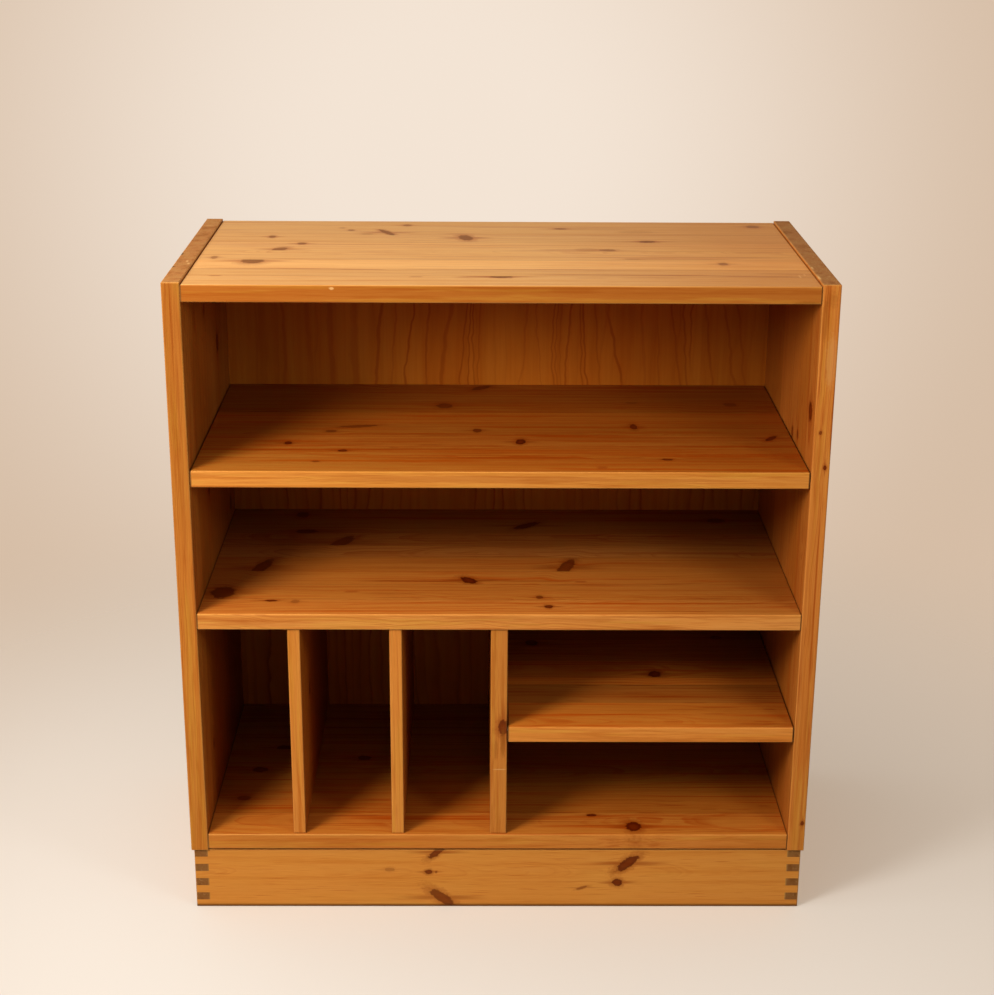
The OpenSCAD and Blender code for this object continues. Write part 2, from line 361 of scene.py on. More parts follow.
def makeLineGroup(shape):  # one long dark line in the grain, tapered at both ends
    tree, given, result = newGroup(
        "grainLine",
        "Along, Across, Along Place, Across Place, Half Length, Half Width, Lean, Strength, Late In",
        "Late",
    )
    along = calc(tree, "SUBTRACT", given["Along"], given["Along Place"])
    leant = linear(tree, along, given["Lean"], given["Across Place"])
    along = calc(tree, "ABSOLUTE", along)
    across = calc(tree, "ABSOLUTE", calc(tree, "SUBTRACT", given["Across"], leant))
    taper = ramp(tree, calc(tree, "DIVIDE", along, given["Half Length"]), *shape["taper"])
    thin = ramp(tree, calc(tree, "DIVIDE", across, given["Half Width"]), *shape["edge"])
    mark = product(tree, given["Strength"], product(tree, taper, thin))
    tree.links.new(calc(tree, "MAXIMUM", mark, given["Late In"]), result["Late"])
    return tree


ringShape = {
    "seedStep": 7.13,
    "staveStep": 3.7,
    "slowAlong": 2.2,
    "pithAcross": (0.16, -0.080),  # spread and least value of a random draw, as in the next four
    "pithThrough": (0.060, 0.014),
    "lean": (0.03, 0.018),
    "widthSpread": (0.8, 0.65),
    "weight": (0.65, 0.35),
    "wanderAcross": 0.011,
    "wanderThrough": 0.008,
    "waveAlong": 2.5,
    "waveAcross": 30,
    "wave": 0.0030,
    "growthScale": 45,
    "growth": 4.0,
    "levels": ((0.0, 0.25), (1.0, 0.45), (0.10, 0.04), (0.50, 0.14), (0.80, 0.70), (0.93, 1.0)),
}


def makeRingGroup(shape):  # growth rings of a stave, seen where the board cuts through them
    tree, given, result = newGroup(
        "pineRings",
        "Along, Across, Through, Stave, Seed, Ring Width",
        "Late, Tint",
    )
    staveSeed = linear(tree, given["Seed"], shape["seedStep"], given["Stave"])
    drawn = dice(tree, staveSeed)["Color"]
    drawn = addNode(tree, "ShaderNodeSeparateColor", {"Color": drawn}).outputs
    apart = product(tree, staveSeed, shape["staveStep"])
    slowPlace = vector(tree, product(tree, given["Along"], shape["slowAlong"]), apart, 0)
    slow = addNode(tree, "ShaderNodeTexNoise", {"Vector": slowPlace, "Detail": 1.0})
    slow = addNode(tree, "ShaderNodeSeparateColor", {"Color": slow.outputs["Color"]}).outputs
    # The pith wanders a little sideways and in depth, which draws the long arches of flat-sawn pine
    pithAcross = linear(tree, drawn[0], *shape["pithAcross"])
    pithAcross = linear(tree, slow[0], shape["wanderAcross"], pithAcross)
    pithThrough = linear(tree, drawn[1], *shape["pithThrough"])
    pithThrough = linear(tree, slow[1], shape["wanderThrough"], pithThrough)
    side = calc(tree, "SIGN", calc(tree, "SUBTRACT", drawn[2], 0.5))
    lean = product(tree, side, linear(tree, drawn[0], *shape["lean"]))
    pithThrough = linear(tree, lean, given["Along"], pithThrough)
    v = calc(tree, "SUBTRACT", given["Across"], pithAcross)
    w = calc(tree, "ADD", given["Through"], pithThrough)
    squares = calc(tree, "ADD", product(tree, v, v), product(tree, w, w))
    radius = calc(tree, "SQRT", squares)
    wave = vector(
        tree,
        product(tree, given["Along"], shape["waveAlong"]),
        product(tree, given["Across"], shape["waveAcross"]),
        linear(tree, given["Through"], shape["waveAcross"], apart),
    )
    radius = linear(tree, noise(tree, wave, 1, 3, 0.55), shape["wave"], radius)
    growthPlace = {"W": linear(tree, radius, shape["growthScale"], apart), "Detail": 2.0}
    growth = addNode(tree, "ShaderNodeTexNoise", growthPlace, noise_dimensions="1D")
    width = product(tree, given["Ring Width"], linear(tree, drawn[0], *shape["widthSpread"]))
    count = calc(tree, "DIVIDE", radius, width)
    count = linear(tree, growth.outputs[0], shape["growth"], count)
    wood = profile(tree, calc(tree, "FRACT", count), shape["levels"])
    ring = calc(tree, "ADD", calc(tree, "FLOOR", count), apart)
    weight = linear(tree, dice(tree, ring)["Value"], *shape["weight"])
    tree.links.new(product(tree, wood, weight), result["Late"])
    tree.links.new(drawn[2], result["Tint"])
    return tree


# Each layer is its scale along and across, its detail, its shift and the limits of its ramp, if any
fibreLayers = {
    "Streaks": (2.4, 95, 4, 0),
    "Flecks": (16, 420, 1, 20, 0.62, 0.74),
    "Fine": (30, 1400, 2, 40),
    "Clouds": (2.2, 9, 3, 60),
    "Warmth": (4.5, 24, 2, 80),
    "Red": (6, 130, 3, 160, 0.50, 0.68),
    "Gold": (5, 100, 3, 190, 0.50, 0.66),
}
thinLines = {"lines": (1.5, 230, 2, 110, 0.56, 0.72), "breaks": (3.2, 14, 2, 130), "strength": 1.7}


def makeFibreGroup(layers, thin):  # long dark streaks, short flecks, fine fibres and broad clouds of tone
    tree, given, result = newGroup(
        "pineFibre",
        "Along, Across, Through, Stave, Seed",
        "Streaks, Lines, Flecks, Fine, Clouds, Warmth, Red, Gold",
    )
    apart = linear(tree, given["Stave"], 5.3, given["Seed"])

    def layer(alongScale, acrossScale, detail, shift, *limits):
        place = vector(
            tree,
            linear(tree, given["Along"], alongScale, calc(tree, "ADD", apart, shift)),
            product(tree, given["Across"], acrossScale),
            product(tree, given["Through"], acrossScale),
        )
        value = noise(tree, place, 1, detail, 0.6)
        return ramp(tree, value, *limits) if limits else value

    for label, settings in layers.items():
        tree.links.new(layer(*settings), result[label])
    lines = product(tree, layer(*thin["lines"]), layer(*thin["breaks"]))
    tree.links.new(product(tree, lines, thin["strength"]), result["Lines"])
    return tree


markShape = {"edge": (1.15, 0.55), "raggedScale": 260, "ragged": (1.0, 0.5)}


def makeMarkGroup(shape):  # one small ragged mark of use, such as a scar, a stain or a crack
    tree, given, result = newGroup(
        "surfaceMark",
        "Spot, Centre, Size, Ragged, Strength, Colour, Colour In",
        "Colour",
    )
    away = vectorCalc(tree, "SUBTRACT", given["Spot"], given["Centre"])
    share = vectorCalc(tree, "DIVIDE", away, given["Size"])
    far = product(tree, length(tree, share), given["Ragged"])
    amount = product(tree, ramp(tree, far, *shape["edge"]), given["Strength"])
    tree.links.new(blend(tree, amount, given["Colour In"], given["Colour"]), result["Colour"])
    return tree


def makeArrisGroup():  # how far a point of a board lies from the board's nearest edge
    tree, given, result = newGroup("arrisWearAndHighlight", "Spot, Low, High", "Away")
    low = vectorCalc(tree, "SUBTRACT", given["Spot"], given["Low"])
    high = vectorCalc(tree, "SUBTRACT", given["High"], given["Spot"])
    least = vectorCalc(tree, "MINIMUM", low, high)
    x, y, z = splitPlace(tree, least)
    # The middle one of the three distances is the way to the nearest edge
    smaller = calc(tree, "MINIMUM", x, y)
    larger = calc(tree, "MAXIMUM", x, y)
    middle = calc(tree, "MAXIMUM", smaller, calc(tree, "MINIMUM", larger, z))
    tree.links.new(middle, result["Away"])
    return tree


staveGroup = makeStaveGroup()
knotGroup = makeKnotGroup(knotShape)
lineGroup = makeLineGroup(lineShape)
ringGroup = makeRingGroup(ringShape)
fibreGroup = makeFibreGroup(fibreLayers, thinLines)
markGroup = makeMarkGroup(markShape)
arrisGroup = makeArrisGroup()

# Pine

pineFinish = {  # a pair named Limits or Reach runs from nothing to full
    "early": (0.61, 0.207, 0.034),
    "late": (0.32, 0.046, 0.0015),
    "deep": (0.378, 0.113, 0.0115),
    "yellow": (0.63, 0.250, 0.042),
    "pale": (0.72, 0.350, 0.112),
    "blond": (0.74, 0.283, 0.054),
    "wornHighlight": (0.74, 0.36, 0.09),
    "streak": (0.25, 0.036, 0.002),
    "endOlive": (0.29, 0.128, 0.036),
    "endBrown": (0.20, 0.071, 0.015),
    "endSpeck": (0.50, 0.290, 0.115),
    "scar": (0.78, 0.42, 0.15),
    "stain": (0.30, 0.085, 0.008),
    "crack": (0.050, 0.022, 0.005),
    "redPatch": (0.40, 0.098, 0.007),
    "goldPatch": (0.62, 0.290, 0.040),
    "knot": (0.100, 0.0080, 0.0002),
    "knotHeart": (0.19, 0.022, 0.0005),
    "knotRim": (0.27, 0.034, 0.001),
    "paleKnot": (0.17, 0.045, 0.001),
    "endGrain": (0.28, 0.110, 0.030),
    "glueLine": (0.22, 0.062, 0.007),
    "dirtAndShade": (0.040, 0.011, 0.003),
    "halfStave": 0.035,
    "ringWidth": 0.0036,
    "ringContrast": 0.66,
    "streaks": 0.70,
    "lines": 0.90,
    "lineDepth": 0.95,
    "lineWave": 0.004,
    "flecks": 0.40,
    "streakShade": 0.8,
    "fineShade": 0.45,
    "deepening": (0.5, 1.1, 2.0),
    "tint": 0.45,
    "clouds": 0.45,
    "warmth": 0.50,
    "frontCalm": 0.62,
    "frontPatches": 0.45,
    "frontCast": (1.0, 0.94, 0.86),
    "streakLimits": (0.50, 0.68),
    "cloudLimits": (0.42, 0.72),
    "warmthLimits": (0.45, 0.70),
    "sheenFadePlace": (0.02, 0.42),  # along the pale face, from most to least: the fall-off is painted sheen
    "sheenFadeLoss": -0.74,
    "paleFigure": -0.45,
    # painted shade on faces that look down
    "paintedUnderShade": -0.32,
    "glueReach": (0.0009, 0.0002),
    "glueDepth": 0.45,
    # lighter arrises: wear, and a painted highlight on the rounded edge
    "wearHighlightReach": (0.0022, 0.0008),
    "wearHighlightDepth": (0.25, 0.12),
    "wearHighlightLimits": (0.35, 0.65),
    "dirtReach": (0.0022, 0.0010),
    "dirtDepth": 0.92,
    "endDirt": -0.85,
    "baseDirtAndShadeReach": (0.0065, 0.0025),
    "rimDepth": 0.72,
    "heartDepth": 0.6,
    "endDepth": 0.9,
    "endLate": 0.6,
    "endPatches": 42,
    "oliveLimits": (0.45, 0.62),
    "brownLimits": (0.47, 0.34),
    "endSpecks": 230,
    "speckLimits": (0.60, 0.75),
    "speckDepth": 0.45,
    "roughness": 0.35,
    "fineRoughness": 0.10,
    "endRoughness": 0.22,
    "specular": 0.05,
    "ringHeight": 0.5,
    "knotHeight": -0.8,
    "bump": (0.30, 0.0003),
}


# Limits of a normal's share along an axis, where a face starts to count as facing that way
endFacing = (0.45, 0.8)
forwardFacing = (0.5, 0.8)
backwardFacing = (-0.5, -0.8)
edgeKnotDepth = (0.02, 0.01)  # how far an edge knot reaches behind the front face


def readBoard(tree, node, axes):  # sockets that say where a point lies on its board and how it faces
    low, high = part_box(node)
    spot = addNode(tree, "ShaderNodeTexCoord").outputs
    place = splitPlace(tree, spot["Object"])
    facing = splitPlace(tree, spot["Normal"])
    along, across, through = ["xyz".index(axis) for axis in axes]
    arris = useGroup(tree, arrisGroup, {"Spot": spot["Object"], "Low": low, "High": high})
    toStart = calc(tree, "SUBTRACT", place[along], low[along])
    toFinish = calc(tree, "SUBTRACT", high[along], place[along])
    return {
        "along": place[along],
        "across": place[across],
        "through": calc(tree, "SUBTRACT", place[through], low[through]),
        "start": low[across],
        "finish": high[across],
        "spot": spot["Object"],
        "inEdge": ramp(tree, calc(tree, "SUBTRACT", place[across], low[across]), *edgeKnotDepth),
        "depth": place[through],
        "high": place[2],
        "endGrain": ramp(tree, calc(tree, "ABSOLUTE", facing[along]), *endFacing),
        "frontFace": ramp(tree, facing[across], *backwardFacing),
        "upFace": ramp(tree, facing[2], *forwardFacing),
        "downFace": ramp(tree, facing[2], *backwardFacing),
        "toEnd": calc(tree, "MINIMUM", toStart, toFinish),
        "toArris": arris["Away"],
    }


def metres(measures):  # the boards' own dictionaries give places and sizes in millimetres
    return [measure / 1000 for measure in measures]


def passedOn(state, labels):  # what one group puts out goes into the next one
    return {label + " In": state[label] for label in labels}


def addStaves(tree, board, staves, tone):
    state = {"Number": 0.0, "Start": board["start"], "Tone": tone, "Near": 1.0}
    for place, change in staves:
        state = useGroup(tree, staveGroup, {
            "Across": board["across"], "Place": place, "Tone": tone + change,
            **passedOn(state, ("Number", "Start", "Tone", "Near")),
        })
    return state


def staveAround(board, staves, across):  # the two glue lines on either side of a knot
    lines = [board["start"] - 0.01] + [place for place, tone in staves] + [board["finish"] + 0.01]
    below = max(line for line in lines if line <= across)
    above = min(line for line in lines if line > across)
    return below, above


# Each knot is its place along and across, its radius, its stretch along the board and its strength
def addKnots(tree, board, knots, staves):
    spot = vector(tree, board["along"], board["across"], board["depth"])
    ragged = linear(tree, noise(tree, spot, knotShape["raggedScale"], 3, 0.6), *knotShape["ragged"])
    state = {"Core": 0.0, "Heart": 0.0, "Halo": 0.0, "Push": 0.0}
    for *measures, stretch, strength, more in [knot if len(knot) > 5 else (*knot, {}) for knot in knots]:
        along, across, radius = metres(measures)
        edge = more.get("edge")  # a knot of the board's edge, seen on its front face
        below, above = (-1.0, 2.0) if edge else staveAround(board, staves, across)
        if "cut" in more:  # glue lines that cut it off, where they aren't the nearest
            below, above = metres(more["cut"])
        state = useGroup(tree, knotGroup, {
            "Along": board["along"], "Across": board["depth"] if edge else board["across"],
            "Along Place": along, "Across Place": across, "Radius": radius, "Stretch": stretch,
            "Slant": more.get("slant", 0.0),
            "Strength": product(tree, board["inEdge"], strength) if edge else strength,
            "From": below, "To": above, "Ragged": ragged,
            **passedOn(state, ("Core", "Heart", "Halo", "Push")),
        })
    return state


# Each grain line is its place along and across, half its length and width, its strength and its lean
def addGrainLines(tree, board, lines, wave):
    late = 0.0
    alongWave = product(tree, board["along"], lineShape["waveScale"])
    acrossWave = product(tree, board["across"], lineShape["waveScale"])
    spot = vector(tree, alongWave, acrossWave, 0)
    wavy = calc(tree, "SUBTRACT", noise(tree, spot, 1, 3, 0.6), 0.5)
    across = linear(tree, wavy, wave, board["across"])
    for *measures, strength, lean in [line if len(line) > 5 else (*line, 0.0) for line in lines]:
        along, level, halfLength, halfWidth = metres(measures)
        late = useGroup(tree, lineGroup, {
            "Along": board["along"], "Across": across, "Along Place": along, "Across Place": level,
            "Half Length": halfLength, "Half Width": halfWidth, "Lean": lean,
            "Strength": strength, "Late In": late,
        })["Late"]
    return late


def addMarks(tree, board, marks, finish, colour):
    rough = noise(tree, board["spot"], markShape["raggedScale"], 2, 0.6)
    ragged = linear(tree, rough, *markShape["ragged"])
    for kind, centre, size, strength in marks:
        colour = useGroup(tree, markGroup, {
            "Spot": board["spot"], "Centre": metres(centre), "Size": metres(size),
            "Ragged": ragged, "Strength": strength, "Colour": finish[kind], "Colour In": colour,
        })["Colour"]
    return colour


def endGrainColour(tree, board, piece, finish, late):  # sawn ends: olive and brown patches, pale specks
    tone = piece.get("endTone", 1.0)
    base, olive, brown = [
        [channel * tone for channel in finish[name]] for name in ("endGrain", "endOlive", "endBrown")
    ]
    patches = noise(tree, board["spot"], finish["endPatches"], 3, 0.6)
    ends = blend(tree, ramp(tree, patches, *finish["oliveLimits"]), base, olive)
    ends = blend(tree, ramp(tree, patches, *finish["brownLimits"]), ends, brown)
    specks = ramp(tree, noise(tree, board["spot"], finish["endSpecks"], 2, 0.5), *finish["speckLimits"])
    ends = blend(tree, product(tree, specks, finish["speckDepth"]), ends, finish["endSpeck"])
    return blend(tree, product(tree, late, finish["endLate"]), ends, brown)


def scaled(tree, value, amount):  # 1 where value is a half, more or less by amount on either side
    return linear(tree, calc(tree, "SUBTRACT", value, 0.5), amount, 1.0)


def deepen(tree, colour, shade, amounts):  # darker wood is redder too: each channel takes its own share
    parts = [calc(tree, "POWER", shade, amount) for amount in amounts]
    return multiplied(tree, colour, vector(tree, *parts))


def makePine(node, piece, finish):
    material, tree, surface = newMaterial(node + "Pine", {"Specular IOR Level": finish["specular"]})
    board = readBoard(tree, node, piece["axes"])
    seed = piece["seed"]
    staveList = [(place / 1000, change) for place, change in piece.get("staves", [])]
    staves = addStaves(tree, board, staveList, piece.get("tone", 0.0))
    knots = addKnots(tree, board, piece.get("knots", []), staveList)
    middle = calc(tree, "ADD", staves["Start"], finish["halfStave"])
    local = calc(tree, "SUBTRACT", board["across"], middle)
    local = calc(tree, "ADD", local, knots["Push"])
    grain = {
        "Along": board["along"], "Across": local, "Through": board["through"],
        "Stave": staves["Number"], "Seed": seed,
    }
    rings = useGroup(tree, ringGroup, {**grain, "Ring Width": finish["ringWidth"]})
    fibre = useGroup(tree, fibreGroup, grain)

    late = product(tree, rings["Late"], finish["ringContrast"])
    streaks = product(tree, ramp(tree, fibre["Streaks"], *finish["streakLimits"]), finish["streaks"])
    late = calc(tree, "MAXIMUM", late, streaks)
    late = linear(tree, fibre["Lines"], finish["lines"], late)
    late = product(tree, late, piece.get("figure", 1.0))
    late = calc(tree, "MULTIPLY_ADD", fibre["Flecks"], finish["flecks"], late, clamp=True)
    frontCalm = piece.get("frontCalm", finish["frontCalm"])
    calm = linear(tree, board["frontFace"], -frontCalm, 1.0)
    late = product(tree, late, calm)
    tint = product(tree, rings["Tint"], finish["tint"])
    inner = calc(tree, "SUBTRACT", 1.0, board["frontFace"])
    tint = calc(tree, "MULTIPLY_ADD", inner, piece.get("rich", 0.0), tint, clamp=True)
    clouds = product(tree, ramp(tree, fibre["Clouds"], *finish["cloudLimits"]), finish["clouds"])
    warmth = product(tree, ramp(tree, fibre["Warmth"], *finish["warmthLimits"]), finish["warmth"])
    colour = blend(tree, warmth, finish["early"], finish["yellow"])
    colour = blend(tree, calc(tree, "MAXIMUM", tint, clouds), colour, finish["deep"])
    if piece.get("blond"):
        fairer = product(tree, board["frontFace"], piece["blond"])
        colour = blend(tree, fairer, colour, finish["blond"])
    if piece.get("pale"):
        # The top face is paler wood, and paler still towards the left from painted sheen
        paleAndSheen = ramp(tree, board["along"], *finish["sheenFadePlace"])
        paleAndSheen = linear(tree, paleAndSheen, finish["sheenFadeLoss"], 1.0)
        paleAndSheen = product(tree, paleAndSheen, product(tree, board["upFace"], piece["pale"]))
        colour = blend(tree, paleAndSheen, colour, finish["pale"])
        late = product(tree, late, linear(tree, board["upFace"], finish["paleFigure"], 1.0))
    for patch, label in (("redPatch", "Red"), ("goldPatch", "Gold")):
        amount = product(tree, fibre[label], finish["frontPatches"])
        colour = blend(tree, product(tree, amount, board["frontFace"]), colour, finish[patch])
    colour = blend(tree, late, colour, finish["late"])
    lines = addGrainLines(tree, board, piece.get("lines", []), finish["lineWave"])
    colour = blend(tree, product(tree, lines, finish["lineDepth"]), colour, finish["streak"])
    streakShade = scaled(tree, fibre["Streaks"], finish["streakShade"])
    fineShade = scaled(tree, fibre["Fine"], finish["fineShade"])
    colour = deepen(tree, colour, product(tree, streakShade, fineShade), finish["deepening"])
    frontTone = linear(tree, board["frontFace"], piece.get("frontTone", 0.0), 1.0)
    shade = product(tree, calc(tree, "ADD", staves["Tone"], 1.0), frontTone)
    # Painted shade: faces that look down are darker
    shade = product(tree, shade, linear(tree, board["downFace"], finish["paintedUnderShade"], 1.0))
    if piece.get("paintedFrontShade"):  # painted shade: from one place along the front edge to another, and the change of tone
        *places, change = piece["paintedFrontShade"]
        faded = product(tree, ramp(tree, board["along"], *metres(places)), board["frontFace"])
        faded = linear(tree, faded, change, 1.0)
        shade = product(tree, shade, faded)
    if piece.get("paintedInnerShade"):  # painted shade, the same on the other faces
        *places, change = piece["paintedInnerShade"]
        innerShade = product(tree, ramp(tree, board["along"], *metres(places)), inner)
        shade = product(tree, shade, linear(tree, innerShade, change, 1.0))
    colour = multiplied(tree, colour, shade)
    if piece.get("cast"):
        colour = multiplied(tree, colour, piece["cast"])
    for where, cast in piece.get("castsAndPaintedShade", []):  # a part of the board with its own colour; some are tints of the wood, some are painted light and shade, as said where they are listed
        share = 1.0 if "frontFace" in where else inner
        for label, limits in where.items():
            limits = limits if label.endswith("Face") else metres(limits)
            share = product(tree, share, ramp(tree, board[label], *limits))
        colour = blend(tree, share, colour, multiplied(tree, colour, cast))
    colour = blend(tree, board["frontFace"], colour, finish["frontCast"], "MULTIPLY")

    glued = product(tree, ramp(tree, staves["Near"], *finish["glueReach"]), finish["glueDepth"])
    colour = blend(tree, glued, colour, finish["glueLine"])
    ends = endGrainColour(tree, board, piece, finish, late)
    colour = blend(tree, product(tree, board["endGrain"], finish["endDepth"]), colour, ends)
    colour = blend(tree, product(tree, knots["Halo"], finish["rimDepth"]), colour, finish["knotRim"])
    hearts = product(tree, knots["Heart"], finish["heartDepth"])
    knotColour = blend(tree, hearts, finish["knot"], finish["knotHeart"])
    if piece.get("pale"):
        knotColour = blend(tree, board["upFace"], knotColour, finish["paleKnot"])
    colour = blend(tree, knots["Core"], colour, knotColour)

    colour = addMarks(tree, board, piece.get("marks", []), finish, colour)

    # Arrises lighter: partly wear, partly a painted highlight on the rounded edge
    wearAndHighlight = ramp(tree, board["toArris"], *finish["wearHighlightReach"])
    patchy = ramp(tree, fibre["Clouds"], *finish["wearHighlightLimits"])
    wearAndHighlight = product(tree, wearAndHighlight, linear(tree, patchy, *finish["wearHighlightDepth"]))
    colour = blend(tree, wearAndHighlight, colour, finish["wornHighlight"])
    if piece.get("butted"):
        dirtAndShade = product(tree, ramp(tree, board["toEnd"], *finish["dirtReach"]), finish["dirtDepth"])
        dirtAndShade = product(tree, dirtAndShade, linear(tree, board["endGrain"], finish["endDirt"], 1.0))
        colour = blend(tree, dirtAndShade, colour, finish["dirtAndShade"])
    # Darker at the foot of the plinth: dirt, and painted contact shade by the floor
    if piece.get("baseDirtAndShade"):
        dirtAndShade = product(tree, ramp(tree, board["high"], *finish["baseDirtAndShadeReach"]), piece["baseDirtAndShade"])
        colour = blend(tree, dirtAndShade, colour, finish["dirtAndShade"])
    tree.links.new(colour, surface.inputs["Base Color"])

    rough = linear(tree, fibre["Fine"], finish["fineRoughness"], finish["roughness"])
    rough = linear(tree, board["endGrain"], finish["endRoughness"], rough)
    tree.links.new(rough, surface.inputs["Roughness"])

    height = linear(tree, rings["Late"], finish["ringHeight"], fibre["Fine"])
    height = linear(tree, knots["Core"], finish["knotHeight"], height)
    addBump(tree, surface, height, *finish["bump"])
    return material


def paint(node, material):
    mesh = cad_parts[node].data
    mesh.materials.clear()
    mesh.materials.append(material)


def paintBoard(node, piece, finish):
    paint(node, makePine(node, piece, finish))
    print("pine on", node)


topPanel = {
    "axes": "xyz",
    "seed": 3,
    "marks": [
        ("scar", (-225, -222, 937.5), (3.4, 4, 2.2), 0.8), ("scar", (404, -160, 942), (1.6, 10, 2), 0.4),
        ("scar", (412, -150, 942), (1.4, 8, 2), 0.35), ("stain", (150, 168, 942), (60, 10, 2), 0.22),
        ("stain", (205, 143, 942), (30, 13, 2), 0.22), ("stain", (125, 12, 942), (20, 14, 2), 0.3),
        ("stain", (405, -222.5, 919), (20, 4, 3), 0.6),
    ],
    "tone": 0.02,
    # a paler top face, paler still on its left part from painted sheen
    "pale": 0.85,
    "frontCalm": 0.80,
    "castsAndPaintedShade": [({"frontFace": (0, 1)}, (0.97, 0.89, 0.8)), ({"upFace": (0, 1)}, (0.99, 1.045, 1.03))],
    "frontTone": -0.13,
    "butted": True,
    "staves": [(-165, -0.06), (-121, 0.15), (-63, 0), (0, 0.02), (60, -0.04), (125, -0.07)],
    "knots": [
        (-140, 190, 7, 0.9, 0.55), (-237, 167, 3, 1.5, 0.4), (-223, 150, 4.5, 1.1, 0.65),
        (-168, 133, 11, 1.15, 0.8, {"slant": 1.5, "cut": (112, 160)}), (-197, 121, 3, 3, 0.45),
        (-336, 98, 8, 0.65, 0.7), (-288, 49, 7, 0.9, 0.7), (-316, 8, 11, 1, 0.75, {"slant": -0.4}),
        (-346, -72, 17, 0.95, 0.8, {"cut": (-200, -63.5)}), (-402, -50, 8, 0.6, 0.5),
        (-50, 95, 18, 0.58, 0.8, {"slant": 0.5}), (93, 166, 4.5, 2.2, 0.8), (217, 71, 6.5, 1.9, 0.9),
        (155, 9, 6.5, 1.9, 0.6), (310, -82, 8, 0.8, 0.6), (388, 188, 9, 1.1, 0.6), (186, -51, 3, 4, 0.35),
        (0, -168, 6.5, 2.2, 1),
    ],
    "lines": [
        (-290, -124.5, 100, 1.3, 0.75), (-190, -127, 43, 1.3, 0.7), (90, -123.5, 270, 1.5, 0.45, 0.013),
        (165, -155, 165, 2.8, 0.6), (355, -163, 80, 1.3, 0.9), (385, -144, 50, 1.2, 0.65),
        (-30, -171, 43, 2.8, 0.6), (120, -174, 29, 1.3, 0.5), (200, -172, 57, 1.3, 0.5),
        (-115, -170, 12, 2.2, 0.6), (-385, -168, 12, 2.2, 0.6), (-160, -148, 120, 1, 0.3),
        (-300, -164, 80, 1.2, 0.3), (250, -50, 100, 3, 0.35), (300, -38, 140, 3.5, 0.35),
        (-200, -56, 250, 4, 0.2), (100, 10, 60, 5, 0.25),
    ],
}

upperShelf = {
    "axes": "xyz",
    "seed": 11,
    "blond": 0.6,
    "tone": 0.31,
    "rich": 0.8,
    "cast": (1.0, 1.01, 0.98),
    "figure": 2.0,
    "frontTone": -0.20,
    "frontCalm": 0.55,
    # Painted shade: darker towards the right end
    "paintedInnerShade": (100, 440, -0.18),
    "castsAndPaintedShade": [
        ({"frontFace": (0, 1)}, (1.02, 1.06, 1.05)),
        # Painted light: yellower at the front-left, where the lamp falls; painted shade: darker at the
        # rear of the left end
        ({"along": (50, -250), "across": (-100, -160)}, (1.03, 1.27, 1.65)),
        ({"along": (-220, -360), "across": (30, 80)}, (0.8, 0.86, 0.9)),
    ],
    "butted": True,
    "staves": [(-162, 0.05), (-117, -0.04), (-52, -0.09), (1, 0.01), (60, -0.22), (117, -0.3)],
    "knots": [
        (-26, 195, 10, 1.5, 0.8, {"slant": -0.6}), (-82, 95, 13, 0.95, 0.7), (-355, 60, 4, 6, 0.5),
        (-207, -12, 6, 5, 0.6, {"slant": -0.15}), (-245, -37, 6, 1.5, 0.6), (-32, -32, 8, 0.8, 0.75),
        (198, -12, 13, 0.4, 0.85, {"cut": (-50, 50)}), (30, -86, 12, 0.6, 1, {"slant": -0.2}),
        (-302, -94, 6.8, 0.8, 1), (-222, -129, 5, 1.3, 0.9), (393, -67, 8, 1.2, 0.9, {"slant": -1}),
        (-256, -178, 3, 2, 0.6), (233, -166, 4, 1.8, 0.85), (205, 115, 6, 1.5, 0.4),
        (355, 105, 9, 1.1, 0.6),
    ],
    "lines": [
        (-322.5, -127.5, 68, 1.3, 0.95), (-115, -121.5, 107, 1.3, 0.9), (-252.5, -98.5, 125, 2.5, 0.4),
        (-100, -102, 22, 3, 0.5), (-55, -143, 64, 1.2, 0.6), (25, -138, 50, 1.2, 0.6),
        (-17.5, -161, 168, 1.8, 0.9), (115, -141, 57, 1.2, 0.6), (185, -158, 22, 1.5, 0.7),
        (360, -162, 86, 1.6, 0.45), (-150, -178, 43, 1.2, 0.35), (140, -203, 10, 6, 0.6),
        (200, -212, 12, 3, 0.5), (-87.5, -56, 39, 2.5, 0.6), (270, -104, 29, 1.4, 0.6),
        (-150, -115, 10, 2, 0.6), (90, -44, 50, 3, 0.4), (-20, 117, 120, 2, 0.5),
    ],
}

